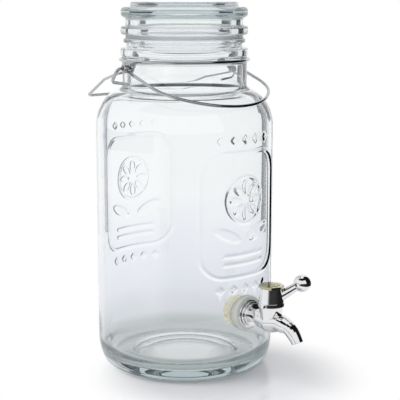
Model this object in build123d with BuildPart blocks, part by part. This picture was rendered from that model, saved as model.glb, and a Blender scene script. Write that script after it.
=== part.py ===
"""Glass drink dispenser: a pressed jar with a glass lid, a wire bail closure and a quarter-turn tap."""
import math
import os

from build123d import *

os.makedirs("parts", exist_ok=True)

# Shared clearances
cut_overrun = 5.0
seat_gap = 0.1
running_gap = 0.05
swing_gap = 0.35
wire_samples = 12
shoulder_samples = 180
droop_limit = 60.0
droop_halvings = 40

# Jar: a straight wall between a rounded heel and a rounded shoulder
jar_radius = 75.0
jar_wall = 4.0
wall_length = 181.5
heel_reach = 14.0
heel_rise = 24.0
floor_thickness = 10.0
floor_crown = 2.5
inner_heel_reach = 18.0
foot_width = 14.0
punt_step = 1.8
punt_slope = 3.0
punt_crown = 4.5
shoulder_rise = 32.0

# Neck and its rings, from the shoulder upward
neck_radius = 52.4
neck_wall = 3.8
neck_height = 27.0
neck_tuck = 3.4
collar_step = 1.0
collar_height = 6.0
groove_step = 3.8
groove_height = 4.4
bead_step = 1.4
bead_height = 3.6
ring_round = 1.0
mouth_step = 7.2
mouth_taper = 6.0
ring_round_shares = (3, 3, 1, 1.2, 0.8, 0.4, 1, 1.5, 0.5, 0.5)
neck_inner_round = 6.0
neck_foot_round = 3.5

# Raised relief on the front and the back of the jar
relief_height = 0.9
relief_sink = 0.8
frame_width = 82.0
frame_corner = 20.0
frame_ridge = 2.4
relief_top_margin = 2.0
relief_foot_margin = 2.7
slice_radius = 20.0
slice_ridge = 2.2
slice_rise = 12.0
segment_count = 8
segment_length = 11.0
segment_width = 5.6
segment_orbit = 10.6
leaf_length = 24.0
leaf_width = 8.0
leaf_spread = 17.0
leaf_drop = 28.0
leaf_tilt = 24.0
bar_length = 44.0
bar_width = 2.6
bar_pitch = 7.0
bar_drop = 40.0
diamond_size = 7.0
diamond_pitch = 12.0
diamond_count = 5
diamond_margin = 9.0

# Lid and its gasket
gasket_height = 3.0
gasket_inset = 0.2
gasket_width = 3.8
lid_ring_overhang = 2.2
lid_ring_height = 7.0
lid_ring_round = 2.0
lid_waist_inset = 4.0
lid_waist_height = 6.9
lid_flange_inset = 0.2
lid_flange_height = 8.9
lid_flange_round = 3.4
lid_disc_inset = 8.0
lid_disc_height = 4.2
lid_disc_round = 2.0
lid_plug_gap = 0.7
lid_plug_depth = 7.5
lid_plug_wall = 5.0
lid_roof = 9.0

# Wire closure: band round the neck, ears on the left and right
band_wire = 2.6
bail_wire = 2.6
lever_wire = 2.4
band_drop = 3.6
ear_drop = 5.0
ear_bend = 1.8
eye_gap = 0.3
turn_gap = 0.55
bracket_bend = 3.6
bracket_foot_rise = 4.6
bracket_lean = 8.0
bracket_foot_drop = 2.6
bail_reach = 76.0
bail_bow_depth = 46.0
lever_lead = 9.0
lever_elbow_reach = 37.0
lever_elbow_inset = 8.1
lever_reach = 73.0
lever_bar_inset = 15.6
lever_dip = 8.0
lever_bend = 5.0

# Tap: everything on the axis that passes through the jar wall
tap_height = 57.0
tap_reach = 30.0
shank_radius = 8.0
shank_gap = 0.3
hole_gap = 0.5
bore_radius = 3.5
outer_washer_radius = 14.8
outer_washer_thickness = 4.5
inner_washer_radius = 13.0
inner_washer_thickness = 5.0
nut_radius = 12.2
nut_round = 1.2
nut_thickness = 6.0
nut_grip_count = 14
nut_grip_radius = 0.9
shank_tail = 3.0
collar_ring_steps = (3.8, 2.8, 1.6)
collar_ring_round = 0.6
collar_ring_width = 1.7
collar_ring_groove = 0.6
collar_core_step = 0.9
tube_radius = 6.2

# Tap chamber, spout and stop
chamber_wall = 3.5
chamber_drop = 6.3
chamber_rise = 12.0
chamber_flare = 6.0
chamber_neck_wall = 1.5
chamber_neck_rise = 14.5
chamber_pocket_gap = 0.5
belly_lead = 8.5
belly_lead_radius = 7.4
belly_lead_side = 8.2
belly_radius = 8.0
belly_side = 9.5
belly_drop = 1.8
shoulder_spout_reach = 13.5
shoulder_spout_drop = 0.9
shoulder_spout_radius = 6.9
shoulder_spout_side = 7.6
shoulder_spout_tilt = 24.0
mid_spout_step = 9.5
mid_spout_fall = 3.4
mid_spout_radius = 5.6
mid_spout_tilt = 48.0
tip_step = 6.6
tip_fall = 8.2
tip_radius = 4.6
tip_tilt = 63.0
spout_wall = 1.1
spout_bend = 5.0
stop_width = 2.0
stop_depth = 2.0
stop_rise = 14.2

# Valve plug
plug_radius = 5.0
port_radius = 3.0
plug_flange_step = 1.2
plug_flange_thickness = 1.6
friction_thickness = 0.6
oring_wire = 1.5
oring_offset = 4.6
drive_width = 6.0
drive_length = 5.8
drive_gap = 0.1

# Tap handle
handle_lift = 0.3
barrel_wall = 3.4
barrel_taper = 5.0
rim_step = 0.4
rim_height = 2.8
pocket_gap = 0.4
tab_reach = 2.2
tab_width = 2.0
tab_height = 2.0
tab_play_angle = 2.5
handle_travel = 90.0
web_thickness = 2.4
counterbore_radius = 4.8
counterbore_depth = 4.5
arm_bearing = 45.0
arm_length = 28.94
arm_tilt = 31.71
arm_foot_rise = 15.6
arm_root = 6.0
arm_root_radius = 4.6
arm_tip_radius = 3.5
ball_radius = 7.0
spigot_radius = 2.0
spigot_length = 4.0
cap_radius = 10.2
cap_sides = 8
cap_thickness = 2.0
cap_spigot_length = 1.6
cap_petal_length = 4.6
cap_petal_width = 2.4
cap_petal_orbit = 4.6
cap_relief = 0.5
screw_radius = 1.5
screw_head_radius = 3.0
screw_head_height = 2.2
screw_length = 9.0

# Quarter ovals are pairs of tangent arcs, the tighter one at the end of the longer axis
oval_tight_share = 0.82
bail_tight_share = 0.7547


def oval(reach, rise, share=oval_tight_share):
    """Radius of the arc at the side, radius of the arc at the top, and the turn where they meet."""
    short, long = sorted((reach, rise))
    tight = share * short
    flat = (short ** 2 + long ** 2 - 2 * long * tight) / (2 * (short - tight))
    turn = math.atan2(long - tight, flat - short)
    if reach <= rise:
        return flat, tight, turn
    return tight, flat, math.pi / 2 - turn


def oval_point(reach, rise, turn, share=oval_tight_share):
    """Point of a quarter oval where it faces a turn above level, as (outward, upward)."""
    side, top, meet = oval(reach, rise, share)
    if turn <= meet:
        return reach - side + side * math.cos(turn), side * math.sin(turn)
    return top * math.cos(turn), rise - top + top * math.sin(turn)


def draw_oval(center, reach, rise, upward, end=math.pi / 2):
    """Draws a quarter oval from its side to an end turn, upward 1 or -1."""
    meet = oval(reach, rise)[2]
    places = []
    for turn in (0, meet / 2, meet, (meet + end) / 2, end):
        outward, height = oval_point(reach, rise, turn)
        places.append((center[0] + outward, center[1] + upward * height))
    ThreePointArc(*places[:3])
    ThreePointArc(*places[2:])


# Levels and places worked out from the sizes above
shoulder_base = heel_rise + wall_length
shoulder_center_radius = neck_radius - neck_tuck
shoulder_reach = jar_radius - shoulder_center_radius
shoulder_end = math.acos(neck_tuck / oval(shoulder_reach, shoulder_rise)[1])
neck_base = shoulder_base + oval_point(shoulder_reach, shoulder_rise, shoulder_end)[1]
collar_base = neck_base + neck_height
groove_base = collar_base + collar_height
bead_base = groove_base + groove_height
rim_level = bead_base + bead_height
band_height = collar_base - band_drop
ear_height = band_height - ear_drop
inner_radius = jar_radius - jar_wall
neck_inner_radius = neck_radius - neck_wall
collar_radius = neck_radius + collar_step
groove_radius = neck_radius - groove_step
bead_radius = neck_radius - bead_step
mouth_radius = neck_radius - mouth_step
barrel_y = -(jar_radius + tap_reach)


def profile_plane():
    """Upright half plane that is turned about the jar's axis."""
    return Plane.XZ


def tap_plane(outward):
    """Plane across the tap's axis, at a distance outward from the jar's wall."""
    return Plane(origin=(0, -(jar_radius + outward), tap_height), x_dir=(1, 0, 0), z_dir=(0, -1, 0))


def level_plane(height):
    """Level plane on the barrel's upright axis."""
    return Plane(origin=(0, barrel_y, height), x_dir=(1, 0, 0), z_dir=(0, 0, 1))


def spout_plane(reach, drop, tilt):
    """Plane across the spout, reach outward from the barrel's axis and drop below the tap's axis."""
    slope = math.radians(tilt)
    return Plane(
        origin=(0, barrel_y - reach, tap_height - drop),
        x_dir=(1, 0, 0),
        z_dir=(0, -math.cos(slope), -math.sin(slope)),
    )


def write(piece, label):
    """Labels a finished piece and writes it as one node."""
    piece.part.label = label
    export_step(piece.part, f"parts/{label}.step")


# Relief: a plain rounded frame, a fruit slice, two leaves, bars and diamonds, wrapped on the wall
relief_top = shoulder_base - relief_top_margin
relief_foot = tap_height + outer_washer_radius + relief_foot_margin
diamond_rows = (relief_top - diamond_size / 2, relief_foot + diamond_size / 2)
frame_height = diamond_rows[0] - diamond_rows[1] - 2 * diamond_margin
frame_center_height = (relief_top + relief_foot) / 2
relief_radius = jar_radius + relief_height
with BuildPart() as relief:
    with BuildSketch(Plane.XZ.offset(relief_radius + cut_overrun)):
        with Locations((0, frame_center_height)):
            RectangleRounded(frame_width, frame_height, frame_corner)
            RectangleRounded(
                frame_width - 2 * frame_ridge,
                frame_height - 2 * frame_ridge,
                frame_corner - frame_ridge,
                mode=Mode.SUBTRACT,
            )
        with Locations((0, frame_center_height + slice_rise)):
            Circle(slice_radius)
            Circle(slice_radius - slice_ridge, mode=Mode.SUBTRACT)
            with PolarLocations(segment_orbit, segment_count):
                Ellipse(segment_length / 2, segment_width / 2)
        for side in (-1, 1):
            with Locations(
                Location((side * leaf_spread, frame_center_height + slice_rise - leaf_drop), side * leaf_tilt)
            ):
                Ellipse(leaf_length / 2, leaf_width / 2)
        with Locations((0, frame_center_height - bar_drop + bar_pitch / 2)):
            with GridLocations(0, bar_pitch, 1, 2):
                SlotOverall(bar_length, bar_width)
        for row in diamond_rows:
            with Locations((0, row)):
                with GridLocations(diamond_pitch, 0, diamond_count, 1):
                    Rectangle(diamond_size / math.sqrt(2), diamond_size / math.sqrt(2), rotation=45)
    extrude(amount=-relief_radius)
    with Locations((0, 0, frame_center_height)):
        Cylinder(relief_radius, frame_height * 2, mode=Mode.INTERSECT)
        Cylinder(jar_radius - relief_sink, frame_height * 2 + cut_overrun, mode=Mode.SUBTRACT)
    mirror(about=Plane.XZ)

# Glass jar: turned profile with a push-up base, the relief fused on and the tap hole drilled
with BuildPart() as glass_jar:
    with BuildSketch(profile_plane()) as jar_profile:
        with BuildLine():
            foot_radius = jar_radius - heel_reach
            punt_radius = foot_radius - foot_width
            floor_radius = inner_radius - inner_heel_reach
            Polyline(
                (0, punt_step + punt_crown),
                (0, floor_thickness + floor_crown),
                (floor_radius, floor_thickness),
            )
            draw_oval((floor_radius, heel_rise), inner_heel_reach, heel_rise - floor_thickness, -1)
            Line((inner_radius, heel_rise), (inner_radius, shoulder_base))
            inner_shoulder_rise = shoulder_rise - jar_wall
            inner_shoulder_reach = inner_radius - neck_inner_radius
            draw_oval((neck_inner_radius, shoulder_base), inner_shoulder_reach, inner_shoulder_rise, 1)
            FilletPolyline(
                (neck_inner_radius, shoulder_base + inner_shoulder_rise),
                (neck_inner_radius, collar_base - mouth_taper),
                (mouth_radius, collar_base),
                (mouth_radius, rim_level),
                (bead_radius, rim_level),
                (bead_radius, bead_base),
                (groove_radius, bead_base),
                (groove_radius, groove_base),
                (collar_radius, groove_base),
                (collar_radius, collar_base),
                (neck_radius, collar_base),
                (neck_radius, neck_base),
                radius=[ring_round * share for share in ring_round_shares],
            )
            draw_oval(
                (shoulder_center_radius, shoulder_base), shoulder_reach, shoulder_rise, 1, shoulder_end
            )
            Line((jar_radius, shoulder_base), (jar_radius, heel_rise))
            draw_oval((foot_radius, heel_rise), heel_reach, heel_rise, -1)
            Line((foot_radius, 0), (punt_radius, 0))
            Line((punt_radius, 0), (punt_radius - punt_slope, punt_step))
            dome_edge = punt_radius - punt_slope
            dome_radius = (dome_edge ** 2 + punt_crown ** 2) / (2 * punt_crown)
            dome_center = punt_step + punt_crown - dome_radius
            ThreePointArc(
                (dome_edge, punt_step),
                (dome_edge / 2, dome_center + math.sqrt(dome_radius ** 2 - (dome_edge / 2) ** 2)),
                (0, punt_step + punt_crown),
            )
        make_face()
        for radius, height, rounding in (
            (neck_inner_radius, shoulder_base + inner_shoulder_rise, neck_inner_round),
            (neck_radius, neck_base, neck_foot_round),
        ):
            fillet(jar_profile.vertices().sort_by_distance((radius, height, 0))[0], rounding)
    revolve(axis=Axis.Z)
    add(relief.part)
    with BuildSketch(tap_plane(cut_overrun)):
        Circle(shank_radius + hole_gap)
    extrude(amount=-(jar_wall + 2 * cut_overrun), mode=Mode.SUBTRACT)
write(glass_jar, "glass_jar")

# Lid: pressed glass, a ring over the rim, a waist and a flange, with a hollow plug that hangs in the mouth
gasket_inner_radius = mouth_radius + gasket_inset
gasket_outer_radius = gasket_inner_radius + gasket_width
lid_ring_radius = bead_radius + lid_ring_overhang
lid_waist_radius = lid_ring_radius - lid_waist_inset
lid_flange_radius = lid_ring_radius - lid_flange_inset
lid_disc_radius = lid_flange_radius - lid_disc_inset
lid_seat = rim_level + gasket_height
waist_base = lid_seat + lid_ring_height
flange_base = waist_base + lid_waist_height
disc_base = flange_base + lid_flange_height
lid_top = disc_base + lid_disc_height
plug_outer_radius = mouth_radius - lid_plug_gap
plug_inner_radius = plug_outer_radius - lid_plug_wall
plug_foot = rim_level - lid_plug_depth
lid_corners = (
    (lid_disc_radius, lid_top, lid_disc_round),
    (lid_disc_radius, disc_base, ring_round),
    (lid_flange_radius, disc_base, lid_flange_round),
    (lid_flange_radius, flange_base, lid_flange_round),
    (lid_waist_radius, flange_base, ring_round),
    (lid_waist_radius, waist_base, ring_round),
    (lid_ring_radius, waist_base, lid_ring_round),
    (lid_ring_radius, lid_seat, lid_ring_round),
    (plug_outer_radius, lid_seat, ring_round / 2),
    (plug_outer_radius, plug_foot, ring_round * 2),
    (plug_inner_radius, plug_foot, ring_round * 2),
    (plug_inner_radius, lid_top - lid_roof, ring_round * 6),
)
with BuildPart() as lid:
    with BuildSketch(profile_plane()):
        with BuildLine():
            FilletPolyline(
                (0, lid_top),
                *[(radius, height) for radius, height, rounding in lid_corners],
                (0, lid_top - lid_roof),
                radius=[rounding for radius, height, rounding in lid_corners],
            )
            Line((0, lid_top - lid_roof), (0, lid_top))
        make_face()
    revolve(axis=Axis.Z)
write(lid, "lid")

# Gasket: a flat silicone ring on the rim, under the lid's ring
with BuildPart() as lid_gasket:
    with BuildSketch(Plane.XY.offset(rim_level)):
        Circle(gasket_outer_radius)
        Circle(gasket_inner_radius, mode=Mode.SUBTRACT)
    extrude(amount=gasket_height)
write(lid_gasket, "lid_gasket")

# Places along an ear, outward from the neck: band, bail eye, lever eye, leg of the bracket
band_radius = neck_radius + seat_gap + band_wire / 2
bail_pitch = bail_wire + turn_gap
lever_pitch = lever_wire + turn_gap
bail_eye_start = band_radius + band_wire / 2 + eye_gap + bail_wire / 2
bail_half_width = bail_eye_start + bail_pitch
lever_eye_start = bail_half_width + bail_wire / 2 + eye_gap + lever_wire / 2
lever_eye_end = lever_eye_start + lever_pitch
leg_place = lever_eye_end + lever_wire / 2 + eye_gap + bracket_bend
bail_eye_radius = band_wire / 2 + eye_gap + bail_wire / 2
lever_eye_radius = band_wire / 2 + eye_gap + lever_wire / 2

# Neck band: a closed wire ring under the collar
with BuildPart() as neck_band:
    with BuildSketch(profile_plane()):
        with Locations((band_radius, band_height)):
            Circle(band_wire / 2)
    revolve(axis=Axis.Z)
write(neck_band, "neck_band")

# Ear brackets: each hangs from the band, runs outward, bends down and back, and its foot bears on the neck
bracket_start = band_height - band_wire / 2 - running_gap
bracket_foot = neck_base + bracket_foot_rise
with BuildPart() as ear_brackets:
    for side in (-1, 1):
        with BuildLine() as bracket_path:
            FilletPolyline(
                (side * band_radius, 0, bracket_start),
                (side * band_radius, 0, ear_height),
                (side * leg_place, 0, ear_height),
                (side * leg_place, bracket_lean, bracket_foot + bracket_foot_drop),
                (side * (neck_radius + swing_gap), bracket_lean, bracket_foot),
                radius=[ear_bend, bracket_bend, bracket_bend],
            )
        with BuildSketch(Plane(origin=(side * band_radius, 0, bracket_start), z_dir=(0, 0, -1))):
            Circle(band_wire / 2)
        sweep(path=bracket_path.line)
write(ear_brackets, "ear_brackets")


def jar_clearance(point):
    """Distance from a point out to the jar's shoulder and neck, negative inside the glass."""
    radius = math.hypot(point[0], point[1])
    furthest = -jar_radius
    for step in range(shoulder_samples + 1):
        turn = shoulder_end * step / shoulder_samples
        outward, upward = oval_point(shoulder_reach, shoulder_rise, turn)
        across = (radius - shoulder_center_radius - outward) * math.cos(turn)
        above = (point[2] - shoulder_base - upward) * math.sin(turn)
        furthest = max(furthest, across + above)
    return min(furthest, radius - neck_radius)


def drooped(points, droop, forward):
    """Turns points about the ears' axis: droop in degrees below level, forward -1 front or 1 back."""
    turn = math.radians(droop)
    turned = []
    for across, out, up in points:
        turned.append((
            across,
            forward * (out * math.cos(turn) + up * math.sin(turn)),
            ear_height - out * math.sin(turn) + up * math.cos(turn),
        ))
    return turned


def resting_droop(points, wire_radius):
    """Droop at which a wire through the points comes to lie just clear of the shoulder."""
    level, low = 0.0, droop_limit
    for _ in range(droop_halvings):
        middle = (level + low) / 2
        clear = min(jar_clearance(p) for p in drooped(points, middle, -1)) - wire_radius - swing_gap
        level, low = (middle, low) if clear > 0 else (level, middle)
    return level


# Carry bail: a U of wire whose ends wind once round the ears
bail_floor = -bail_eye_radius
bail_arm = bail_reach - bail_bow_depth
_, bow_top, bow_meet = oval(bail_half_width, bail_bow_depth, bail_tight_share)


def bow_point(side, turn):
    """Point of the bow on one side, where it faces a turn from that side towards the front."""
    across, out = oval_point(bail_half_width, bail_bow_depth, turn, bail_tight_share)
    return side * across, bail_arm + out, bail_floor


bow_samples = [bow_point(1, math.pi / 2 * step / wire_samples) for step in range(wire_samples + 1)]
bail_droop = resting_droop(bow_samples, bail_wire / 2)


def bail_place(points):
    """Places of bail points at rest."""
    return drooped(points, bail_droop, -1)


with BuildPart() as carry_bail:
    with BuildLine() as bail_path:
        for side in (-1, 1):
            inner, outer = side * bail_eye_start, side * bail_half_width
            between = (inner + outer) / 2
            low_end, front, top, back, low_start = bail_place([
                (inner, 0, -bail_eye_radius),
                ((inner + between) / 2, bail_eye_radius, 0),
                (between, 0, bail_eye_radius),
                ((between + outer) / 2, -bail_eye_radius, 0),
                (outer, 0, -bail_eye_radius),
            ])
            arm_end, corner, blend = bail_place(
                [bow_point(side, turn) for turn in (0, bow_meet / 2, bow_meet)]
            )
            ThreePointArc(low_end, front, top)
            ThreePointArc(top, back, low_start)
            Line(low_start, arm_end)
            ThreePointArc(arm_end, corner, blend)
        ThreePointArc(
            *bail_place([bow_point(-1, bow_meet), bow_point(1, math.pi / 2), bow_point(1, bow_meet)])
        )
    bail_wire_path = bail_path.wire()
    with BuildSketch(Plane(origin=bail_wire_path @ 0, z_dir=bail_wire_path % 0)):
        Circle(bail_wire / 2)
    sweep(path=bail_wire_path)
write(carry_bail, "carry_bail")

# Clamp lever: a wire frame that winds once round the ears, with an elbow and a straight crossbar
lever_elbow_half_width = lever_eye_end - lever_elbow_inset
lever_half_width = lever_eye_end - lever_bar_inset
lever_half = [
    (lever_eye_end, lever_lead, -lever_eye_radius),
    (lever_elbow_half_width, lever_elbow_reach, -lever_eye_radius),
    (lever_half_width, lever_reach, -lever_eye_radius - lever_dip),
]
lever_middle = (0, lever_reach, -lever_eye_radius - lever_dip)
lever_samples = []
for first, second in zip(lever_half, lever_half[1:] + [lever_middle]):
    for step in range(wire_samples + 1):
        along = step / wire_samples
        lever_samples.append(tuple(a + (b - a) * along for a, b in zip(first, second)))
lever_droop = resting_droop(lever_samples, lever_wire / 2)


def lever_place(points):
    """Places of lever points at rest."""
    return drooped(points, lever_droop, 1)


with BuildPart() as clamp_lever:
    with BuildLine() as lever_path:
        starts = []
        for side in (-1, 1):
            inner, outer = side * lever_eye_start, side * lever_eye_end
            between = (inner + outer) / 2
            low_end, front, top, back, low_start = lever_place([
                (inner, 0, -lever_eye_radius),
                ((inner + between) / 2, lever_eye_radius, 0),
                (between, 0, lever_eye_radius),
                ((between + outer) / 2, -lever_eye_radius, 0),
                (outer, 0, -lever_eye_radius),
            ])
            ThreePointArc(low_end, front, top)
            ThreePointArc(top, back, low_start)
            starts.append(low_start)
        frame_points = lever_place(
            [(-across, out, up) for across, out, up in lever_half] + lever_half[::-1]
        )
        FilletPolyline(starts[0], *frame_points, starts[1], radius=lever_bend)
    lever_wire_path = lever_path.wire()
    with BuildSketch(Plane(origin=lever_wire_path @ 0, z_dir=lever_wire_path % 0)):
        Circle(lever_wire / 2)
    sweep(path=lever_wire_path)
write(clamp_lever, "clamp_lever")

# Outer washer: soft silicone that follows the round of the wall
with BuildPart() as outer_washer:
    with BuildSketch(tap_plane(outer_washer_thickness)):
        Circle(outer_washer_radius)
        Circle(shank_radius + shank_gap, mode=Mode.SUBTRACT)
    extrude(amount=-(outer_washer_thickness + jar_wall))
    with Locations((0, 0, tap_height)):
        Cylinder(jar_radius + seat_gap, 4 * outer_washer_radius, mode=Mode.SUBTRACT)
    fillet(outer_washer.faces().sort_by(Axis.Y)[0].outer_wire().edges(), ring_round)
write(outer_washer, "outer_washer")

# Inner washer: the same, on the inside of the wall
inner_seat = -(jar_wall + inner_washer_thickness)
with BuildPart() as inner_washer:
    with BuildSketch(tap_plane(inner_seat)):
        Circle(inner_washer_radius)
        Circle(shank_radius + shank_gap, mode=Mode.SUBTRACT)
    extrude(amount=inner_washer_thickness + jar_wall)
    with Locations((0, 0, tap_height)):
        Cylinder(inner_radius - seat_gap, 4 * inner_washer_radius, mode=Mode.INTERSECT)
write(inner_washer, "inner_washer")

# Shank nut: a round nut with finger grips
with BuildPart() as shank_nut:
    with BuildSketch(tap_plane(inner_seat)):
        Circle(nut_radius)
    extrude(amount=-nut_thickness)
    fillet(shank_nut.faces().sort_by(Axis.Y)[-1].outer_wire().edges(), nut_round)
    with BuildSketch(tap_plane(inner_seat)):
        Circle(shank_radius + running_gap)
        with PolarLocations(nut_radius, nut_grip_count):
            Circle(nut_grip_radius)
    extrude(amount=-nut_thickness, mode=Mode.SUBTRACT)
write(shank_nut, "shank_nut")

# Tap collar: three stepped rings that clamp the outer washer
collar_core_radius = shank_radius + collar_core_step
ring_count = len(collar_ring_steps)
ring_pitch = collar_ring_width + collar_ring_groove
collar_length = ring_count * ring_pitch
with BuildPart() as tap_collar:
    with BuildSketch(tap_plane(outer_washer_thickness)):
        Circle(collar_core_radius)
    extrude(amount=collar_length)
    for index, ring_step in enumerate(collar_ring_steps):
        with BuildSketch(tap_plane(outer_washer_thickness + index * ring_pitch)):
            Circle(shank_radius + ring_step)
        extrude(amount=collar_ring_width)
        ring_faces = tap_collar.faces(Select.LAST).filter_by(GeomType.CYLINDER)
        fillet(ring_faces.sort_by(SortBy.RADIUS)[-1].edges().filter_by(GeomType.CIRCLE), collar_ring_round)
    with BuildSketch(tap_plane(outer_washer_thickness)):
        Circle(shank_radius + running_gap)
    extrude(amount=collar_length, mode=Mode.SUBTRACT)
write(tap_collar, "tap_collar")

# Tap body: shank, belly, chamber and spout in one moulding, with the waterway through it
plug_flange_radius = plug_radius + plug_flange_step
chamber_radius = plug_radius + chamber_wall
chamber_neck_radius = plug_radius + chamber_neck_wall
chamber_pocket_radius = plug_flange_radius + chamber_pocket_gap
barrel_radius = chamber_neck_radius + pocket_gap + barrel_wall
rim_radius = barrel_radius + rim_step
mid_spout_reach = shoulder_spout_reach + mid_spout_step
mid_spout_drop = shoulder_spout_drop + mid_spout_fall
tip_reach = mid_spout_reach + tip_step
tip_drop = mid_spout_drop + tip_fall
shank_end = inner_seat - nut_thickness - shank_tail
collar_end = outer_washer_thickness + collar_length
chamber_floor = tap_height - chamber_drop
chamber_top = tap_height + chamber_rise
neck_top = tap_height + chamber_neck_rise
spout_sections = (
    (collar_end - tap_reach, 0, 0, tube_radius, tube_radius),
    (-belly_lead, belly_drop / 2, 0, belly_lead_radius, belly_lead_side),
    (0, belly_drop, 0, belly_radius, belly_side),
    (
        shoulder_spout_reach,
        shoulder_spout_drop,
        shoulder_spout_tilt,
        shoulder_spout_radius,
        shoulder_spout_side,
    ),
    (mid_spout_reach, mid_spout_drop, mid_spout_tilt, mid_spout_radius, mid_spout_radius),
    (tip_reach, tip_drop, tip_tilt, tip_radius, tip_radius),
)
spout_steps = 4


def blended_sections():
    """Sections between the given ones, on a curve that leaves each along its own tilt."""
    sections = [spout_sections[0]]
    for first, second in zip(spout_sections, spout_sections[1:]):
        span = math.hypot(second[0] - first[0], second[1] - first[1])
        leave, arrive = math.radians(first[2]), math.radians(second[2])
        for step in range(1, spout_steps + 1):
            t = step / spout_steps
            from_first, from_second = (1 + 2 * t) * (1 - t) ** 2, t ** 2 * (3 - 2 * t)
            lead_out, lead_in = t * (1 - t) ** 2 * span, t ** 2 * (t - 1) * span
            reach = from_first * first[0] + from_second * second[0]
            reach += lead_out * math.cos(leave) + lead_in * math.cos(arrive)
            drop = from_first * first[1] + from_second * second[1]
            drop += lead_out * math.sin(leave) + lead_in * math.sin(arrive)
            tilt = first[2] + (second[2] - first[2]) * t
            radius = from_first * first[3] + from_second * second[3]
            side = from_first * first[4] + from_second * second[4]
            sections.append((reach, drop, tilt, radius, side))
    return sections


belly_sections = blended_sections()
stop_place = rim_radius + pocket_gap + stop_depth / 2
with BuildPart() as tap_body:
    with BuildSketch(tap_plane(shank_end)):
        Circle(shank_radius)
    extrude(amount=collar_end - shank_end)
    for pair in zip(belly_sections, belly_sections[1:]):
        for reach, drop, tilt, radius, side in pair:
            with BuildSketch(spout_plane(reach, drop, tilt)):
                Ellipse(side, radius)
        loft()
    with BuildSketch(level_plane(tap_height)):
        Circle(chamber_radius)
    extrude(amount=chamber_rise, taper=-chamber_flare)
    with BuildSketch(level_plane(chamber_floor)):
        Circle(chamber_neck_radius)
    extrude(amount=neck_top - chamber_floor)
    with BuildSketch(Plane(origin=(0, barrel_y + stop_place, tap_height), z_dir=(0, 0, 1))):
        Rectangle(stop_width, stop_depth)
    extrude(amount=stop_rise)
    with BuildSketch(tap_plane(shank_end)):
        Circle(bore_radius)
    extrude(amount=tap_reach - shank_end, mode=Mode.SUBTRACT)
    with BuildSketch(level_plane(chamber_floor)):
        Circle(plug_radius)
    extrude(amount=neck_top - chamber_floor, mode=Mode.SUBTRACT)
    with BuildSketch(level_plane(chamber_floor)):
        Circle(chamber_pocket_radius)
    extrude(amount=-(chamber_drop + cut_overrun), mode=Mode.SUBTRACT)
    with BuildLine() as spout_line:
        route = [spout_plane(*section[:3]).origin for section in spout_sections[3:]]
        tip_overrun = spout_plane(tip_reach, tip_drop, tip_tilt).z_dir * cut_overrun
        FilletPolyline((0, barrel_y, tap_height), *route, route[-1] + tip_overrun, radius=spout_bend)
    with BuildSketch(spout_plane(0, 0, 0)):
        Circle(tip_radius - spout_wall)
    sweep(path=spout_line.line, mode=Mode.SUBTRACT)
write(tap_body, "tap_body")

# Valve plug: a straight plug with a cross port, shut while the handle points to the right of the spout
plug_turned_radius = plug_radius - running_gap
flange_top = chamber_floor - friction_thickness - seat_gap
plug_top = neck_top - handle_lift
drive_top = plug_top + drive_length
groove_depth = oring_wire + seat_gap
with BuildPart() as valve_plug:
    with BuildSketch(level_plane(flange_top - plug_flange_thickness)):
        Circle(plug_flange_radius)
    extrude(amount=plug_flange_thickness)
    with BuildSketch(level_plane(flange_top)):
        Circle(plug_turned_radius)
    extrude(amount=plug_top - flange_top)
    with BuildSketch(level_plane(plug_top)):
        Rectangle(drive_width, drive_width)
    extrude(amount=drive_length)
    for offset_sign in (-1, 1):
        groove_height_z = tap_height + offset_sign * oring_offset - groove_depth / 2
        with BuildSketch(level_plane(groove_height_z)):
            Circle(plug_turned_radius)
            Circle(plug_turned_radius - groove_depth, mode=Mode.SUBTRACT)
        extrude(amount=groove_depth, mode=Mode.SUBTRACT)
    with BuildSketch(Plane(origin=(0, barrel_y, tap_height), z_dir=(1, 0, 0))):
        Circle(port_radius)
    extrude(amount=plug_radius + cut_overrun, both=True, mode=Mode.SUBTRACT)
    with BuildSketch(level_plane(drive_top)):
        Circle(screw_radius + running_gap)
    extrude(amount=-screw_length, mode=Mode.SUBTRACT)
write(valve_plug, "valve_plug")

# O-rings above and below the port
with BuildPart() as plug_orings:
    for offset_sign in (-1, 1):
        ring_plane = Plane(
            origin=(0, barrel_y, tap_height + offset_sign * oring_offset), x_dir=(1, 0, 0), z_dir=(0, -1, 0)
        )
        with BuildSketch(ring_plane):
            with Locations((plug_turned_radius - oring_wire / 2, 0)):
                Circle(oring_wire / 2)
        revolve(axis=Axis((0, barrel_y, 0), (0, 0, 1)))
write(plug_orings, "plug_orings")

# Friction washer between the plug's flange and the chamber
with BuildPart() as friction_washer:
    with BuildSketch(level_plane(flange_top)):
        Circle(plug_flange_radius)
        Circle(plug_radius + seat_gap, mode=Mode.SUBTRACT)
    extrude(amount=friction_thickness)
write(friction_washer, "friction_washer")

# Tap handle: barrel with a skirt rim and two stop tabs, and the conical arm
handle_base = chamber_top + handle_lift
web_top = drive_top + drive_gap + web_thickness
barrel_top = web_top + counterbore_depth
pocket_top = neck_top + pocket_gap
arm_slope = math.radians(arm_tilt)
arm_turn = math.radians(arm_bearing)
arm_direction = (
    math.cos(arm_slope) * math.sin(arm_turn),
    -math.cos(arm_slope) * math.cos(arm_turn),
    math.sin(arm_slope),
)
arm_neck = arm_length - math.sqrt(ball_radius ** 2 - arm_tip_radius ** 2)


def arm_plane(distance):
    """Plane across the handle's arm, at a distance along it from the barrel's axis."""
    return Plane(
        origin=(
            arm_direction[0] * distance,
            barrel_y + arm_direction[1] * distance,
            tap_height + arm_foot_rise + arm_direction[2] * distance,
        ),
        x_dir=(math.cos(arm_turn), math.sin(arm_turn), 0),
        z_dir=arm_direction,
    )


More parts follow.
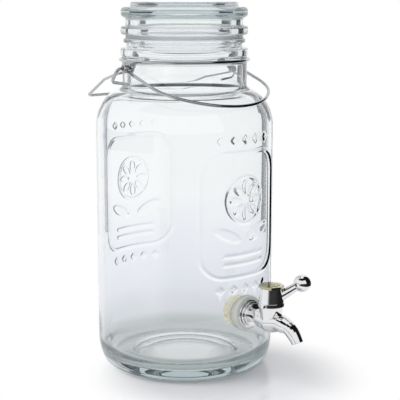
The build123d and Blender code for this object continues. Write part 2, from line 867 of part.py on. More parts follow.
stop_half_angle = math.degrees(math.atan((stop_width + tab_width) / 2 / stop_place)) + tab_play_angle
tab_angles = (90 - stop_half_angle, 90 + stop_half_angle + handle_travel)
with BuildPart() as tap_handle:
    with BuildSketch(level_plane(handle_base)):
        Circle(rim_radius)
    extrude(amount=rim_height)
    with BuildSketch(level_plane(handle_base)):
        Circle(barrel_radius)
    extrude(amount=barrel_top - handle_base, taper=barrel_taper)
    for angle in tab_angles:
        with BuildSketch(level_plane(handle_base)):
            with Locations(Location((0, 0), angle)):
                with Locations(((rim_radius + tab_reach) / 2, 0)):
                    Rectangle(rim_radius + tab_reach, tab_width)
        extrude(amount=tab_height)
    with BuildSketch(arm_plane(arm_root)):
        Circle(arm_root_radius)
    with BuildSketch(arm_plane(arm_neck)):
        Circle(arm_tip_radius)
    loft()
    with BuildSketch(arm_plane(arm_neck)):
        Circle(spigot_radius)
    extrude(amount=spigot_length)
    with BuildSketch(level_plane(handle_base)):
        Circle(chamber_neck_radius + pocket_gap)
    extrude(amount=pocket_top - handle_base, mode=Mode.SUBTRACT)
    with BuildSketch(level_plane(pocket_top)):
        Rectangle(drive_width + 2 * drive_gap, drive_width + 2 * drive_gap)
    extrude(amount=drive_top + drive_gap - pocket_top, mode=Mode.SUBTRACT)
    with BuildSketch(level_plane(pocket_top)):
        Circle(screw_radius + drive_gap)
    extrude(amount=web_top - pocket_top, mode=Mode.SUBTRACT)
    with BuildSketch(level_plane(web_top)):
        Circle(counterbore_radius)
    extrude(amount=barrel_top - web_top, mode=Mode.SUBTRACT)
write(tap_handle, "tap_handle")

# Ball on the end of the arm, bored for the arm's spigot
with BuildPart() as handle_ball:
    with Locations(arm_plane(arm_length).location):
        Sphere(ball_radius)
    split(bisect_by=arm_plane(arm_neck), keep=Keep.TOP)
    with BuildSketch(arm_plane(arm_neck)):
        Circle(spigot_radius + running_gap)
    extrude(amount=spigot_length + seat_gap, mode=Mode.SUBTRACT)
write(handle_ball, "handle_ball")

# Octagonal cap with a raised ring of petals, pressed over the screw
cap_top = barrel_top + cap_thickness
with BuildPart() as handle_cap:
    with BuildSketch(level_plane(barrel_top)):
        RegularPolygon(cap_radius, cap_sides)
    extrude(amount=cap_thickness)
    with BuildSketch(level_plane(barrel_top)):
        Circle(counterbore_radius - running_gap)
    extrude(amount=-cap_spigot_length)
    with BuildSketch(level_plane(cap_top)):
        with PolarLocations(cap_petal_orbit, cap_sides):
            Ellipse(cap_petal_length / 2, cap_petal_width / 2)
        Circle(cap_petal_width / 2)
    extrude(amount=cap_relief)
write(handle_cap, "handle_cap")

# Screw that ties the handle to the plug's square
with BuildPart() as handle_screw:
    with BuildSketch(level_plane(web_top)):
        Circle(screw_head_radius)
    extrude(amount=screw_head_height)
    with BuildSketch(level_plane(web_top)):
        Circle(screw_radius)
    extrude(amount=-screw_length)
write(handle_screw, "handle_screw")

print(f"rim {rim_level:.2f} lid top {lid_top:.2f} band {band_height:.2f} ears {ear_height:.2f}")
print(f"bail droop {bail_droop:.2f} lever droop {lever_droop:.2f} bow radius {bow_top:.2f}")
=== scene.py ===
"""Glass drink dispenser on a white studio table: pressed jar and lid, wire bail closure and a chromed tap."""
import math

import bmesh
import bpy
from mathutils import Matrix, Vector


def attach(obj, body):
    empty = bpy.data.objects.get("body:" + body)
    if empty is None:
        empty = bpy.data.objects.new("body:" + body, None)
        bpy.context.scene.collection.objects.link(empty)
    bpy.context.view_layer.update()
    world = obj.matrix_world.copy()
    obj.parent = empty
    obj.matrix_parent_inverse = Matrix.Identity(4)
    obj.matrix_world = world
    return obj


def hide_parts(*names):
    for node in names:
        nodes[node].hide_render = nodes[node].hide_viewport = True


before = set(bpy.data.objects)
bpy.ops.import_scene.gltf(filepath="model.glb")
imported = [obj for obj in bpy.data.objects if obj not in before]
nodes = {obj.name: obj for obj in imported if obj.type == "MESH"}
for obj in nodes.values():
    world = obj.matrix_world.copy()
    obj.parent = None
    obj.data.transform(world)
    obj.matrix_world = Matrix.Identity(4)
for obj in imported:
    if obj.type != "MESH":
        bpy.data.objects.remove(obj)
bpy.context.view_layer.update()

# Glass jar: soda-lime glass pressed in a two-part mould, with a push-up base, a rounded heel and
# shoulder, and rings at the mouth for the lid and the wire band. The relief on the front and the
# back comes from the mould, and the tap hole is drilled afterwards.
mm = 0.001
jar_radius = 75.0
jar_wall = 4.0
heel_reach = 14.0
heel_rise = 24.0
floor_thickness = 10.0
floor_crown = 2.5
inner_heel_reach = 18.0
foot_width = 14.0
punt_step = 1.8
punt_slope = 3.0
punt_crown = 4.5
wall_length = 181.5
shoulder_rise = 32.0
neck_radius = 52.4
neck_wall = 3.8
neck_height = 27.0
neck_tuck = 3.4
mouth_radius = 45.2
mouth_taper = 6.0
collar_radius = 53.4
collar_height = 6.0
groove_radius = 48.6
groove_height = 4.4
bead_radius = 51.0
bead_height = 3.6
tap_height = 57.0
tap_hole_radius = 8.5
wall_rows = 146
panel_columns = 104
side_columns = 24
panel_half_angle = 36.0
oval_tight_share = 0.82
dome_steps = 8
foot_runs = 3
low_wall_rows = 10
inner_wall_rows = 7
floor_runs = 4
corner_segments = 4
merge_gap = 0.004
wall_gap = 0.02
relief_margin = 4.0
drill_segments = 64
drill_depth = 24.0


def oval(reach, rise):
    """Radii of a quarter oval's side and top arcs, and the turn in degrees where they meet."""
    short, long = sorted((reach, rise))
    tight = oval_tight_share * short
    flat = (short ** 2 + long ** 2 - 2 * long * tight) / (2 * (short - tight))
    turn = math.degrees(math.atan2(long - tight, flat - short))
    return (flat, tight, turn) if reach <= rise else (tight, flat, 90 - turn)


def line_to(bm, tip, radius, height, runs=1):
    """Draws the profile on with a straight line, in equal runs."""
    start = tip.co.copy()
    end = Vector((radius, 0, height))
    for run in range(1, runs + 1):
        point = bm.verts.new(start.lerp(end, run / runs))
        bm.edges.new((tip, point))
        tip = point
    return tip


def arc_on(bm, tip, radius, height, degrees, steps):
    """Draws the profile on with an arc about a centre, counter-clockwise for positive degrees."""
    drawn = bmesh.ops.spin(
        bm, geom=[tip], cent=(radius, 0, height), axis=(0, -1, 0), angle=math.radians(degrees), steps=steps
    )
    return [item for item in drawn["geom_last"] if isinstance(item, bmesh.types.BMVert)][0]


def oval_on(bm, tip, center, reach, rise, upward, first, last, steps=9):
    """Draws the profile on with a quarter oval, from one turn above or below level to another."""
    side, top, meet = oval(reach, rise)
    arcs = [
        (center[0] + reach - side, center[1], min(first, last), meet),
        (center[0], center[1] + upward * (rise - top), meet, max(first, last)),
    ]
    for radius, height, start, stop in arcs if first < last else arcs[::-1]:
        sweep = stop - start if first < last else start - stop
        tip = arc_on(bm, tip, radius, height, upward * sweep, steps)
    return tip


def round_corners(bm, corners, segments):
    """Rounds profile corners, each by its own setback."""
    for corner, setback in corners:
        bmesh.ops.bevel(
            bm, geom=[corner], offset=setback, offset_type="OFFSET", affect="VERTICES",
            segments=segments, profile=0.5, material=-1,
        )


def turn_about(bm, sectors, cent=(0, 0, 0), axis=(0, 0, 1)):
    """Turns the drawn profile about an axis, sector by sector, and closes it."""
    geom = bm.verts[:] + bm.edges[:]
    for degrees, steps in sectors:
        turned = bmesh.ops.spin(
            bm, geom=geom, cent=cent, axis=axis, angle=math.radians(degrees), steps=steps, use_merge=False
        )
        geom = turned["geom_last"]
    bmesh.ops.remove_doubles(bm, verts=bm.verts, dist=merge_gap)
    bmesh.ops.recalc_face_normals(bm, faces=bm.faces)


def make_piece(name, bm, material, body, slot, *replaced, scale=mm, sharp=40.0):
    """Turns a finished bmesh, drawn in millimetres, into a piece of the object in metres."""
    bmesh.ops.scale(bm, vec=(scale, scale, scale), verts=bm.verts)
    mesh = bpy.data.meshes.new(name)
    bm.to_mesh(mesh)
    bm.free()
    mesh.shade_smooth()
    mesh.set_sharp_from_angle(angle=math.radians(sharp))
    mesh.materials.append(material)
    piece = bpy.data.objects.new(name, mesh)
    bpy.context.scene.collection.objects.link(piece)
    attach(piece, body)
    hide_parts(*replaced)
    return piece


def tint(code):
    """Linear colour of an sRGB hex value."""
    channels = [int(code[place:place + 2], 16) / 255 for place in (0, 2, 4)]
    return [c / 12.92 if c <= 0.04045 else ((c + 0.055) / 1.055) ** 2.4 for c in channels] + [1.0]


def add(tree, kind, sockets=None, **settings):
    """Adds a node with its settings, and fills its sockets with values or links."""
    made = tree.nodes.new(kind)
    for name, value in settings.items():
        setattr(made, name, value)
    for name, value in (sockets or {}).items():
        if isinstance(value, bpy.types.NodeSocket):
            tree.links.new(value, made.inputs[name])
        else:
            made.inputs[name].default_value = value
    return made


def start_finish(name, sockets):
    """A new material whose surface shader has these constant values."""
    material = bpy.data.materials.new(name)
    material.use_nodes = True
    shader = material.node_tree.nodes["Principled BSDF"]
    for socket, value in sockets.items():
        shader.inputs[socket].default_value = value
    return material, material.node_tree, shader


# Pressed clear glass: fire-polished, so it is smooth, with the slow waves that a mould leaves.
# The waves are about 24 mm long and a few hundredths of a millimetre high. The foot ring is stippled
# with pips about 2.4 mm apart, and thick glass is a little grey-green.
glass_wave = 24 * mm
foot_pip = 2.4 * mm
glass_clear, tree, shader = start_finish(
    "pressed_clear_glass",
    {"IOR": 1.51, "Transmission Weight": 1.0, "Roughness": 0.0, "Specular Tint": (1, 1, 1, 1)},
)
place = add(tree, "ShaderNodeTexCoord")
waves = add(
    tree, "ShaderNodeTexNoise",
    {"Vector": place.outputs["Object"], "Scale": 1 / glass_wave, "Detail": 1.0, "Roughness": 0.4},
)
cast = add(
    tree, "ShaderNodeMix",
    {"Factor": waves.outputs["Fac"], "A": tint("FFFFFF"), "B": tint("FBFDFE")},
    data_type="RGBA",
)
ripple = add(
    tree, "ShaderNodeBump",
    {"Height": waves.outputs["Fac"], "Strength": 0.35, "Distance": 0.12 * mm},
)
level = add(tree, "ShaderNodeSeparateXYZ", {"Vector": place.outputs["Object"]})
foot = add(
    tree, "ShaderNodeMapRange",
    {"Value": level.outputs["Z"], "From Min": 0.3 * mm, "From Max": 1.0 * mm, "To Min": 1.0, "To Max": 0.0},
)
pips = add(tree, "ShaderNodeTexVoronoi", {"Vector": place.outputs["Object"], "Scale": 1 / foot_pip})
grip = add(
    tree, "ShaderNodeMath",
    {0: pips.outputs["Distance"], 1: foot.outputs["Result"]}, operation="MULTIPLY",
)
stipple = add(
    tree, "ShaderNodeBump",
    {
        "Height": grip.outputs["Value"], "Strength": 0.8, "Distance": 0.5 * mm,
        "Normal": ripple.outputs["Normal"],
    },
)
tree.links.new(cast.outputs["Result"], shader.inputs["Base Color"])
tree.links.new(stipple.outputs["Normal"], shader.inputs["Normal"])
depth = add(tree, "ShaderNodeVolumeAbsorption", {"Color": tint("CBD6D8"), "Density": 14.0})
tree.links.new(depth.outputs["Volume"], tree.nodes["Material Output"].inputs["Volume"])

# Relief motifs, in millimetres across the panel and up the wall
relief_height = 0.9
relief_soft = 0.75
frame_center = 139.0
frame_half_width = 41.0
frame_half_height = 52.0
frame_corner = 20.0
frame_ridge = 2.4
slice_center = 151.0
slice_radius = 20.0
slice_ridge = 2.2
segment_count = 8
segment_orbit = 10.6
segment_half = (5.5, 2.8)
leaf_place = (17.0, 123.0)
leaf_half = (12.0, 4.0)
leaf_tilt = 24.0
bar_heights = (99.0, 106.0)
bar_half = 22.0
bar_radius = 1.3
diamond_rows = (200.0, 78.0)
diamond_pitch = 12.0
diamond_half = 3.5


def oval_gap(x, z, half, degrees):
    """Rough distance to a turned ellipse, negative inside."""
    turn = math.radians(degrees)
    along = x * math.cos(turn) + z * math.sin(turn)
    across = z * math.cos(turn) - x * math.sin(turn)
    return (math.hypot(along / half[0], across / half[1]) - 1) * min(half)


def relief(x, z):
    """Height of the moulded relief at a place on the panel."""
    ridge = frame_ridge / 2
    corner = frame_corner - ridge
    side = abs(x) - (frame_half_width - frame_corner)
    top = abs(z - frame_center) - (frame_half_height - frame_corner)
    edge = math.hypot(max(side, 0), max(top, 0)) + min(max(side, top), 0) - corner
    gap = abs(edge) - ridge
    up = z - slice_center
    reach = math.hypot(x, up)
    gap = min(gap, abs(reach - slice_radius + slice_ridge / 2) - slice_ridge / 2)
    if reach < slice_radius:
        sector = 2 * math.pi / segment_count
        turn = round(math.atan2(up, x) / sector) * sector
        out_x, out_z = segment_orbit * math.cos(turn), segment_orbit * math.sin(turn)
        gap = min(gap, oval_gap(x - out_x, up - out_z, segment_half, math.degrees(turn)))
    gap = min(gap, oval_gap(abs(x) - leaf_place[0], z - leaf_place[1], leaf_half, leaf_tilt))
    for height in bar_heights:
        end = max(abs(x) - bar_half + bar_radius, 0)
        gap = min(gap, math.hypot(end, z - height) - bar_radius)
    for height in diamond_rows:
        column = max(-2, min(2, round(x / diamond_pitch)))
        spread = abs(x - column * diamond_pitch) + abs(z - height)
        gap = min(gap, (spread - diamond_half) / math.sqrt(2))
    rise = min(1, max(0, 0.5 - gap / (2 * relief_soft)))
    return relief_height * rise * rise * (3 - 2 * rise)


foot_radius = jar_radius - heel_reach
punt_radius = foot_radius - foot_width
dome_edge = punt_radius - punt_slope
dome_radius = (dome_edge ** 2 + punt_crown ** 2) / (2 * punt_crown)
inner_radius = jar_radius - jar_wall
neck_inner = neck_radius - neck_wall
shoulder_base = heel_rise + wall_length
shoulder_center = neck_radius - neck_tuck
shoulder_reach = jar_radius - shoulder_center
shoulder_crown = oval(shoulder_reach, shoulder_rise)[1]
shoulder_end = math.degrees(math.acos(neck_tuck / shoulder_crown))
neck_base = shoulder_base + shoulder_rise - shoulder_crown * (1 - math.sin(math.radians(shoulder_end)))
collar_base = neck_base + neck_height
groove_base = collar_base + collar_height
bead_base = groove_base + groove_height
rim_level = bead_base + bead_height
inner_shoulder_rise = shoulder_rise - jar_wall

jar = bmesh.new()
tip = jar.verts.new((0, 0, punt_step + punt_crown))
dome_turn = math.degrees(math.asin(dome_edge / dome_radius))
tip = arc_on(jar, tip, 0, punt_step + punt_crown - dome_radius, -dome_turn, dome_steps)
tip = line_to(jar, tip, punt_radius, 0)
tip = line_to(jar, tip, foot_radius, 0, foot_runs)
tip = oval_on(jar, tip, (foot_radius, heel_rise), heel_reach, heel_rise, -1, 90, 0)
tip = line_to(jar, tip, jar_radius, tap_height + 2 * tap_hole_radius, low_wall_rows)
tip = line_to(jar, tip, jar_radius, shoulder_base, wall_rows)
tip = oval_on(jar, tip, (shoulder_center, shoulder_base), shoulder_reach, shoulder_rise, 1, 0, shoulder_end)
corners = [(tip, 3.0)]
for radius, height, setback in (
    (neck_radius, collar_base, 0.5), (collar_radius, collar_base, 0.5), (collar_radius, groove_base, 1.5),
    (groove_radius, groove_base, 1.0), (groove_radius, bead_base, 0.4), (bead_radius, bead_base, 0.8),
    (bead_radius, rim_level, 1.2), (mouth_radius, rim_level, 1.0), (mouth_radius, collar_base, 0.8),
    (neck_inner, collar_base - mouth_taper, 0.8), (neck_inner, shoulder_base + inner_shoulder_rise, 6.0),
):
    tip = line_to(jar, tip, radius, height)
    corners.append((tip, setback))
tip = oval_on(
    jar, tip, (neck_inner, shoulder_base), inner_radius - neck_inner, inner_shoulder_rise, 1, 90, 0
)
tip = line_to(jar, tip, inner_radius, heel_rise, inner_wall_rows)
floor_radius = inner_radius - inner_heel_reach
tip = oval_on(
    jar, tip, (floor_radius, heel_rise), inner_heel_reach, heel_rise - floor_thickness, -1, 0, 90
)
tip = line_to(jar, tip, 0, floor_thickness + floor_crown, floor_runs)
round_corners(jar, corners, corner_segments)
bmesh.ops.rotate(
    jar, verts=jar.verts, cent=(0, 0, 0), matrix=Matrix.Rotation(math.radians(-90 - panel_half_angle), 3, "Z")
)
side_angle = 180 - 2 * panel_half_angle
turn_about(
    jar, [(2 * panel_half_angle, panel_columns), (side_angle, side_columns)] * 2
)
for vert in jar.verts:
    radius = math.hypot(vert.co.x, vert.co.y)
    if abs(radius - jar_radius) < wall_gap and tap_height + tap_hole_radius < vert.co.z < shoulder_base:
        on_panel = abs(vert.co.x) < frame_half_width + relief_margin
        lift = relief(vert.co.x, vert.co.z) if on_panel else 0
        vert.co.xy *= (jar_radius + lift) / radius
jar_piece = make_piece("jar_glass", jar, glass_clear, "jar", "clear_glass", "glass_jar", sharp=50)

drill = bmesh.new()
drill_place = Matrix.Translation((0, (jar_wall / 2 - jar_radius) * mm, tap_height * mm))
bmesh.ops.create_cone(
    drill, cap_ends=True, segments=drill_segments,
    radius1=tap_hole_radius * mm, radius2=tap_hole_radius * mm, depth=drill_depth * mm,
    matrix=drill_place @ Matrix.Rotation(math.pi / 2, 4, "X"),
)
drill_mesh = bpy.data.meshes.new("tap_hole_drill")
drill.to_mesh(drill_mesh)
drill.free()
drill_bit = bpy.data.objects.new("tap_hole_drill", drill_mesh)
bpy.context.scene.collection.objects.link(drill_bit)
cut = jar_piece.modifiers.new("tap_hole", "BOOLEAN")
cut.object = drill_bit
cut.operation = "DIFFERENCE"
cut.solver = "EXACT"
bpy.context.view_layer.update()
drilled = bpy.data.meshes.new_from_object(jar_piece.evaluated_get(bpy.context.evaluated_depsgraph_get()))
jar_piece.modifiers.clear()
jar_piece.data = drilled
bpy.data.objects.remove(drill_bit)

# Lid: a heavy disc of the same pressed glass, hollow below, with a plug skirt that hangs in the mouth.
# It comes from the frame as it is.
nodes["lid"].data.materials.clear()
nodes["lid"].data.materials.append(glass_clear)

# Lid gasket: a flat ring of clear silicone rubber, moulded with soft edges, that the lid presses on the rim.
gasket_inner = mouth_radius + 0.2
gasket_outer = gasket_inner + 3.8
gasket_height = 3.0
gasket_edge = 0.7
gasket_steps = 160
gasket_top = rim_level + gasket_height
silicone_grain = 1.2 * mm
silicone_clear, tree, shader = start_finish(
    "clear_silicone",
    {"IOR": 1.41, "Transmission Weight": 0.75, "Roughness": 0.28},
)
place = add(tree, "ShaderNodeTexCoord")
cloud = add(
    tree, "ShaderNodeTexNoise",
    {"Vector": place.outputs["Object"], "Scale": 1 / silicone_grain, "Detail": 3.0},
)
milk = add(
    tree, "ShaderNodeMix",
    {"Factor": cloud.outputs["Fac"], "A": tint("F2F5F6"), "B": tint("E2E8EB")},
    data_type="RGBA",
)
tree.links.new(milk.outputs["Result"], shader.inputs["Base Color"])
gasket = bmesh.new()
tip = gasket.verts.new((gasket_inner, 0, rim_level))
start = tip
corners = []
for radius, height in ((gasket_outer, rim_level), (gasket_outer, gasket_top), (gasket_inner, gasket_top)):
    tip = line_to(gasket, tip, radius, height)
    corners.append((tip, gasket_edge))
gasket.edges.new((tip, start))
corners.append((start, gasket_edge))
round_corners(gasket, corners, corner_segments)
turn_about(gasket, [(360, gasket_steps)])
make_piece("lid_gasket_ring", gasket, silicone_clear, "lid", "clear_silicone", "lid_gasket")

# Wire closure: band, ears, carry bail and clamp lever are bent from polished stainless steel wire.
# Drawing the wire leaves faint lines along it, drawn here 0.5 mm wide so that they show.
wire_line = 0.5 * mm
wire_bright, tree, shader = start_finish(
    "polished_stainless_wire", {"Metallic": 1.0}
)
place = add(tree, "ShaderNodeTexCoord")
streaks = add(
    tree, "ShaderNodeTexNoise",
    {"Vector": place.outputs["Object"], "Scale": 1 / wire_line, "Detail": 2.0},
)
shine = add(
    tree, "ShaderNodeMapRange",
    {"Value": streaks.outputs["Fac"], "From Min": 0.3, "From Max": 0.7, "To Min": 0.08, "To Max": 0.16},
)
steel_tone = add(
    tree, "ShaderNodeMix",
    {"Factor": streaks.outputs["Fac"], "A": tint("C6C8CA"), "B": tint("A2A5A8")},
    data_type="RGBA",
)
tree.links.new(shine.outputs["Result"], shader.inputs["Roughness"])
tree.links.new(steel_tone.outputs["Result"], shader.inputs["Base Color"])
for name in ("neck_band", "ear_brackets", "carry_bail", "clamp_lever"):
    nodes[name].data.materials.clear()
    nodes[name].data.materials.append(wire_bright)

# Tap seals: a pale grey silicone washer outside, a cream one inside, and a cream polypropylene nut.
# All three are moulded and faintly mottled, and a little translucent. Each also has a painted glow, an
# emission of its own light colour, strongest on the cream pieces inside the jar, that stands in for the light
# the glass keeps off them.
mottle = 3.0 * mm
seal_finishes = {}
for name, light, dark, painted_glow in (
    ("grey_silicone", "E2E4DE", "D3D6D0", 0.04),
    ("cream_silicone", "FFFBE6", "FCF6D6", 0.22),
    ("cream_polypropylene", "FFFBE8", "FDF7DA", 0.22),
):
    # Painted glow: each seal emits a little of its own light colour, in place of light that reaches it
    # through the glass
    seal, tree, shader = start_finish(
        name, {"IOR": 1.43, "Roughness": 0.38, "Subsurface Weight": 0.2, "Subsurface Scale": 2 * mm,
               "Emission Color": tint(light), "Emission Strength": painted_glow}
    )
    place = add(tree, "ShaderNodeTexCoord")
    cloud = add(
        tree, "ShaderNodeTexNoise",
        {"Vector": place.outputs["Object"], "Scale": 1 / mottle, "Detail": 3.0},
    )
    tone = add(
        tree, "ShaderNodeMix",
        {"Factor": cloud.outputs["Fac"], "A": tint(light), "B": tint(dark)},
        data_type="RGBA",
    )
    tree.links.new(tone.outputs["Result"], shader.inputs["Base Color"])
    seal_finishes[name] = seal
for name, finish in (
    ("outer_washer", "grey_silicone"),
    ("inner_washer", "cream_silicone"),
    ("shank_nut", "cream_polypropylene"),
):
    nodes[name].data.materials.clear()
    nodes[name].data.materials.append(seal_finishes[finish])

# Tap: ABS mouldings with bright chrome plating. The plating is mirror-smooth over the slight
# waves of the moulding, about 6 mm long.
plate_wave = 6 * mm
chrome, tree, shader = start_finish("chrome_plated_abs", {"Metallic": 1.0, "Roughness": 0.04})
place = add(tree, "ShaderNodeTexCoord")
swell = add(
    tree, "ShaderNodeTexNoise",
    {"Vector": place.outputs["Object"], "Scale": 1 / plate_wave, "Detail": 1.0},
)
plate = add(
    tree, "ShaderNodeMix",
    {"Factor": swell.outputs["Fac"], "A": tint("EDEDEE"), "B": tint("E0E1E3")},
    data_type="RGBA",
)
orange_peel = add(
    tree, "ShaderNodeBump", {"Height": swell.outputs["Fac"], "Strength": 0.15, "Distance": 0.05 * mm}
)
tree.links.new(plate.outputs["Result"], shader.inputs["Base Color"])
tree.links.new(orange_peel.outputs["Normal"], shader.inputs["Normal"])
for name in ("tap_collar", "tap_body", "tap_handle", "handle_ball"):
    nodes[name].data.materials.clear()
    nodes[name].data.materials.append(chrome)

# Tap cap: pressed on over the screw, plated in a warmer champagne tone and a little duller than the rest.
cap_grain = 1.6 * mm
champagne, tree, shader = start_finish("champagne_plated_abs", {"Metallic": 1.0, "Roughness": 0.16})
place = add(tree, "ShaderNodeTexCoord")
grain = add(
    tree, "ShaderNodeTexNoise",
    {"Vector": place.outputs["Object"], "Scale": 1 / cap_grain, "Detail": 1.0},
)
warm = add(
    tree, "ShaderNodeMix",
    {"Factor": grain.outputs["Fac"], "A": tint("D9D6B8"), "B": tint("A9A88A")},
    data_type="RGBA",
)
tree.links.new(warm.outputs["Result"], shader.inputs["Base Color"])
nodes["handle_cap"].data.materials.clear()
nodes["handle_cap"].data.materials.append(champagne)

# Working pieces inside the tap: an acetal plug and slip washer, nitrile O-rings and a zinc-plated screw.
fleck = 0.8 * mm
for names, finish, light, dark, metallic, rough in (
    (("valve_plug", "friction_washer"), "acetal", "E8E7E2", "DAD9D2", 0.0, 0.42),
    (("plug_orings",), "nitrile_rubber", "1C1C1D", "121213", 0.0, 0.55),
    (("handle_screw",), "zinc_plated_steel", "C9CACB", "AEB0B3", 1.0, 0.3),
):
    inner, tree, shader = start_finish(finish, {"Metallic": metallic, "Roughness": rough})
    place = add(tree, "ShaderNodeTexCoord")
    specks = add(
        tree, "ShaderNodeTexNoise",
        {"Vector": place.outputs["Object"], "Scale": 1 / fleck, "Detail": 2.0},
    )
    tone = add(
        tree, "ShaderNodeMix",
        {"Factor": specks.outputs["Fac"], "A": tint(light), "B": tint(dark)},
        data_type="RGBA",
    )
    tree.links.new(tone.outputs["Result"], shader.inputs["Base Color"])
    for name in names:
        nodes[name].data.materials.clear()
        nodes[name].data.materials.append(inner)

# Studio table: a white acrylic sheet that fades into a white surround. Near the jar it takes the light
# and the shadow, which falls to the right. Seen through the glass, it shows painted shade instead: it glows
# grey-green round the jar's foot, in rings that fade to white far off.
table_half = 4.0
table_near = 0.06
table_far = 0.125
shadow_center = (-0.003, -0.057, 0)
table_drop = 0.0004
through_share = 0.9
table = bmesh.new()
bmesh.ops.create_grid(table, x_segments=1, y_segments=1, size=table_half)
bmesh.ops.translate(table, verts=table.verts, vec=(0, 0, -table_drop))
table_mesh = bpy.data.meshes.new("table")
table.to_mesh(table_mesh)
table.free()
table_piece = bpy.data.objects.new("table", table_mesh)
bpy.context.scene.collection.objects.link(table_piece)
acrylic, tree, shader = start_finish("white_acrylic", {"Base Color": tint("EFF0F4"), "Roughness": 0.12})
place = add(tree, "ShaderNodeTexCoord")
reach = add(
    tree, "ShaderNodeVectorMath", {0: place.outputs["Object"], 1: shadow_center}, operation="DISTANCE"
)
fade = add(
    tree, "ShaderNodeMapRange",
    {"Value": reach.outputs["Value"], "From Min": table_near, "From Max": table_far},
    interpolation_type="SMOOTHSTEP",
)
path = add(tree, "ShaderNodeLightPath")
through = add(
    tree, "ShaderNodeMath", {0: path.outputs["Is Transmission Ray"], 1: through_share}, operation="MULTIPLY"
)
seen = add(
    tree, "ShaderNodeMath",
    {0: path.outputs["Is Camera Ray"], 1: path.outputs["Is Glossy Ray"]}, operation="MAXIMUM",
)
whiten = add(
    tree, "ShaderNodeMath", {0: seen.outputs["Value"], 1: fade.outputs["Result"]}, operation="MULTIPLY"
)
whiten = add(
    tree, "ShaderNodeMath", {0: whiten.outputs["Value"], 1: through.outputs["Value"]}, operation="MAXIMUM"
)
span = add(tree, "ShaderNodeVectorMath", {0: place.outputs["Object"]}, operation="LENGTH")
# Painted shade: the colours the table glows with when seen through the glass, darkest in a ring under the
# heel and white far off
shade = add(tree, "ShaderNodeValToRGB", {"Fac": span.outputs["Value"]})
shade.color_ramp.elements[0].color = tint("D3D7D6")
for position, code in (
    (0.028, "D3D7D6"), (0.045, "8C9493"), (0.062, "B4BAB9"), (0.09, "C3C8C8"), (0.14, "DCDEE2"),
    (0.25, "EEEEF5"), (0.45, "F5F6FB"), (0.8, "FFFFFF"),
):
    stop = shade.color_ramp.elements.new(position)
    stop.color = tint(code)
# Seen through the glass the table glows with the painted shade; for other rays it glows white
painted_glow = add(
    tree, "ShaderNodeMix",
    {"Factor": path.outputs["Is Transmission Ray"], "A": (1, 1, 1, 1), "B": shade.outputs["Color"]},
    data_type="RGBA",
)
white = add(tree, "ShaderNodeEmission", {"Color": painted_glow.outputs["Result"], "Strength": 1.0})
mixed = add(
    tree, "ShaderNodeMixShader",
    {0: whiten.outputs["Value"], 1: shader.outputs["BSDF"], 2: white.outputs["Emission"]},
)
tree.links.new(mixed.outputs["Shader"], tree.nodes["Material Output"].inputs["Surface"])
table_mesh.materials.append(acrylic)

# Studio flags: a black curtain on the camera's side that gives the metal its dark shapes, and grey cards
# behind the jar that draw the edges of the glass. The camera doesn't see them.
view_azimuth = -41.0
flag_start = -38.0
flag_fade = 26.0
flag_distance = 1.4
flag_steps = 24
card_distance = 0.55
card_middle = 0.19
card_top = 0.5


def flag_turn(degrees):
    """Share of a turn at which the radial gradient meets a bearing to the right of the camera."""
    return (view_azimuth - 90 + degrees + 180) / 360


flag_finish = start_finish("studio_black", {"Base Color": tint("060607"), "Roughness": 0.9})[0]
soft_finish, tree, shader = start_finish(
    "studio_black_fading", {"Base Color": tint("060607"), "Roughness": 0.9, "Emission Color": (1, 1, 1, 1)}
)
place = add(tree, "ShaderNodeTexCoord")
around = add(tree, "ShaderNodeTexGradient", {"Vector": place.outputs["Object"]}, gradient_type="RADIAL")
fade = add(
    tree, "ShaderNodeMapRange",
    {
        "Value": around.outputs["Fac"], "From Min": flag_turn(flag_start),
        "From Max": flag_turn(flag_start + flag_fade), "To Min": 1.0, "To Max": 0.0,
    },
    interpolation_type="SMOOTHSTEP",
)
tree.links.new(fade.outputs["Result"], shader.inputs["Emission Strength"])
right_finish = start_finish("studio_grey", {"Base Color": tint("4E535C"), "Roughness": 0.9})[0]
dark_finish = start_finish("studio_teal", {"Base Color": tint("2A3236"), "Roughness": 0.9})[0]
left_finish = start_finish("studio_lavender", {"Base Color": tint("A6A8BA"), "Roughness": 0.9})[0]


def stand_flag(name, finish, profile, start, stop, **seen_by):
    """A bent card round the jar, from one bearing to another, in degrees to the right of the camera."""
    card = bmesh.new()
    tip = card.verts.new((profile[0][0], 0, profile[0][1]))
    for distance, height in profile[1:]:
        tip = line_to(card, tip, distance, height)
    bmesh.ops.rotate(
        card, verts=card.verts, cent=(0, 0, 0),
        matrix=Matrix.Rotation(math.radians(view_azimuth - 90 + start), 3, "Z"),
    )
    bmesh.ops.spin(
        card, geom=card.verts[:] + card.edges[:], cent=(0, 0, 0), axis=(0, 0, 1),
        angle=math.radians(stop - start), steps=flag_steps,
    )
    mesh = bpy.data.meshes.new(name)
    card.to_mesh(mesh)
    card.free()
    mesh.materials.append(finish)
    flag = bpy.data.objects.new(name, mesh)
    bpy.context.scene.collection.objects.link(flag)
    flag.visible_camera = False
    flag.visible_shadow = False
    flag.visible_diffuse = False
    for setting, value in seen_by.items():
        setattr(flag, setting, value)


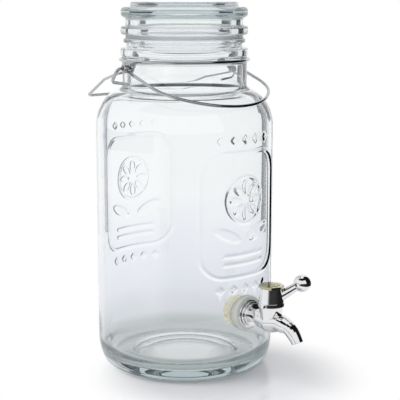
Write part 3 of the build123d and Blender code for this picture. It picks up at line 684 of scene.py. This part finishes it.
for name, finish, profile, start, stop in (
    ("black_floor", soft_finish, [(0.25, 0.002), (flag_distance, 0.002), (flag_distance, 0.16)],
     flag_start, 135),
    ("black_side", flag_finish, [(flag_distance, 0.16), (flag_distance, 1.9)], 50, 135),
    ("black_top", flag_finish, [(flag_distance, 1.45), (0.5, 2.0)], -80, 135),
    ("black_edge", flag_finish, [(flag_distance, 0.0), (flag_distance, 0.12)], -120, -38),
):
    stand_flag(name, finish, profile, start, stop, visible_transmission=False)
for name, finish, low, high, start, stop in (
    ("card_right", right_finish, 0.0, card_middle, 180 - 27, 180 - 19),
    ("card_left", left_finish, 0.0, card_middle, 180 + 19, 180 + 24),
    ("card_right_high", dark_finish, card_middle, card_top, 180 - 42, 180 - 17),
    ("card_left_high", right_finish, card_middle, card_top, 180 + 19, 180 + 32),
):
    profile = [(card_distance, low), (card_distance, high)]
    stand_flag(name, finish, profile, start, stop, visible_glossy=False)

# Studio light: a white tent all round, and a soft lamp high on the left for the shadow.
tent_level = 0.8
world = bpy.data.worlds.new("white_tent")
bpy.context.scene.world = world
world.use_nodes = True
tree = world.node_tree
path = add(tree, "ShaderNodeLightPath")
level = add(
    tree, "ShaderNodeMapRange",
    {"Value": path.outputs["Is Diffuse Ray"], "To Min": 1.0, "To Max": tent_level},
)
tree.links.new(level.outputs["Result"], tree.nodes["Background"].inputs["Strength"])
tree.nodes["Background"].inputs["Color"].default_value = (1, 1, 1, 1)


def hang_lamp(name, place, aim, size, watts):
    """A square soft lamp that points at a place."""
    light = bpy.data.lights.new(name, "AREA")
    light.shape = "SQUARE"
    light.size = size
    light.energy = watts
    lamp = bpy.data.objects.new(name, light)
    lamp.location = place
    lamp.rotation_euler = (Vector(aim) - Vector(place)).to_track_quat("-Z", "Y").to_euler()
    lamp.visible_glossy = False
    lamp.visible_transmission = False
    bpy.context.scene.collection.objects.link(lamp)


lamp_place = (-1.0, 0.5, 1.3)
lamp_aim = (0, 0, 0.1)
lamp_size = 0.8
lamp_watts = 9
hang_lamp("lamp_left", lamp_place, lamp_aim, lamp_size, lamp_watts)

# Camera: at the photograph's viewpoint, a long lens close to level
view_distance = 0.957
view_height = 0.3175
view_pitch = 10.48
view_yaw = 0.78
lens_length = 102.15
lens_sensor = 36
bearing = math.radians(view_azimuth)
lens = bpy.data.cameras.new("camera")
lens.lens = lens_length
lens.sensor_width = lens_sensor
camera = bpy.data.objects.new("camera", lens)
camera.location = (view_distance * math.sin(bearing), -view_distance * math.cos(bearing), view_height)
camera.rotation_euler = (
    math.radians(90 - view_pitch), 0, math.radians(view_azimuth - view_yaw)
)
bpy.context.scene.collection.objects.link(camera)
bpy.context.scene.camera = camera
bpy.context.scene.view_settings.view_transform = "Standard"

# Light crosses many walls of thick glass before it leaves the base and the lid
bpy.context.scene.cycles.max_bounces = 32
bpy.context.scene.cycles.transmission_bounces = 32
bpy.context.scene.cycles.glossy_bounces = 16
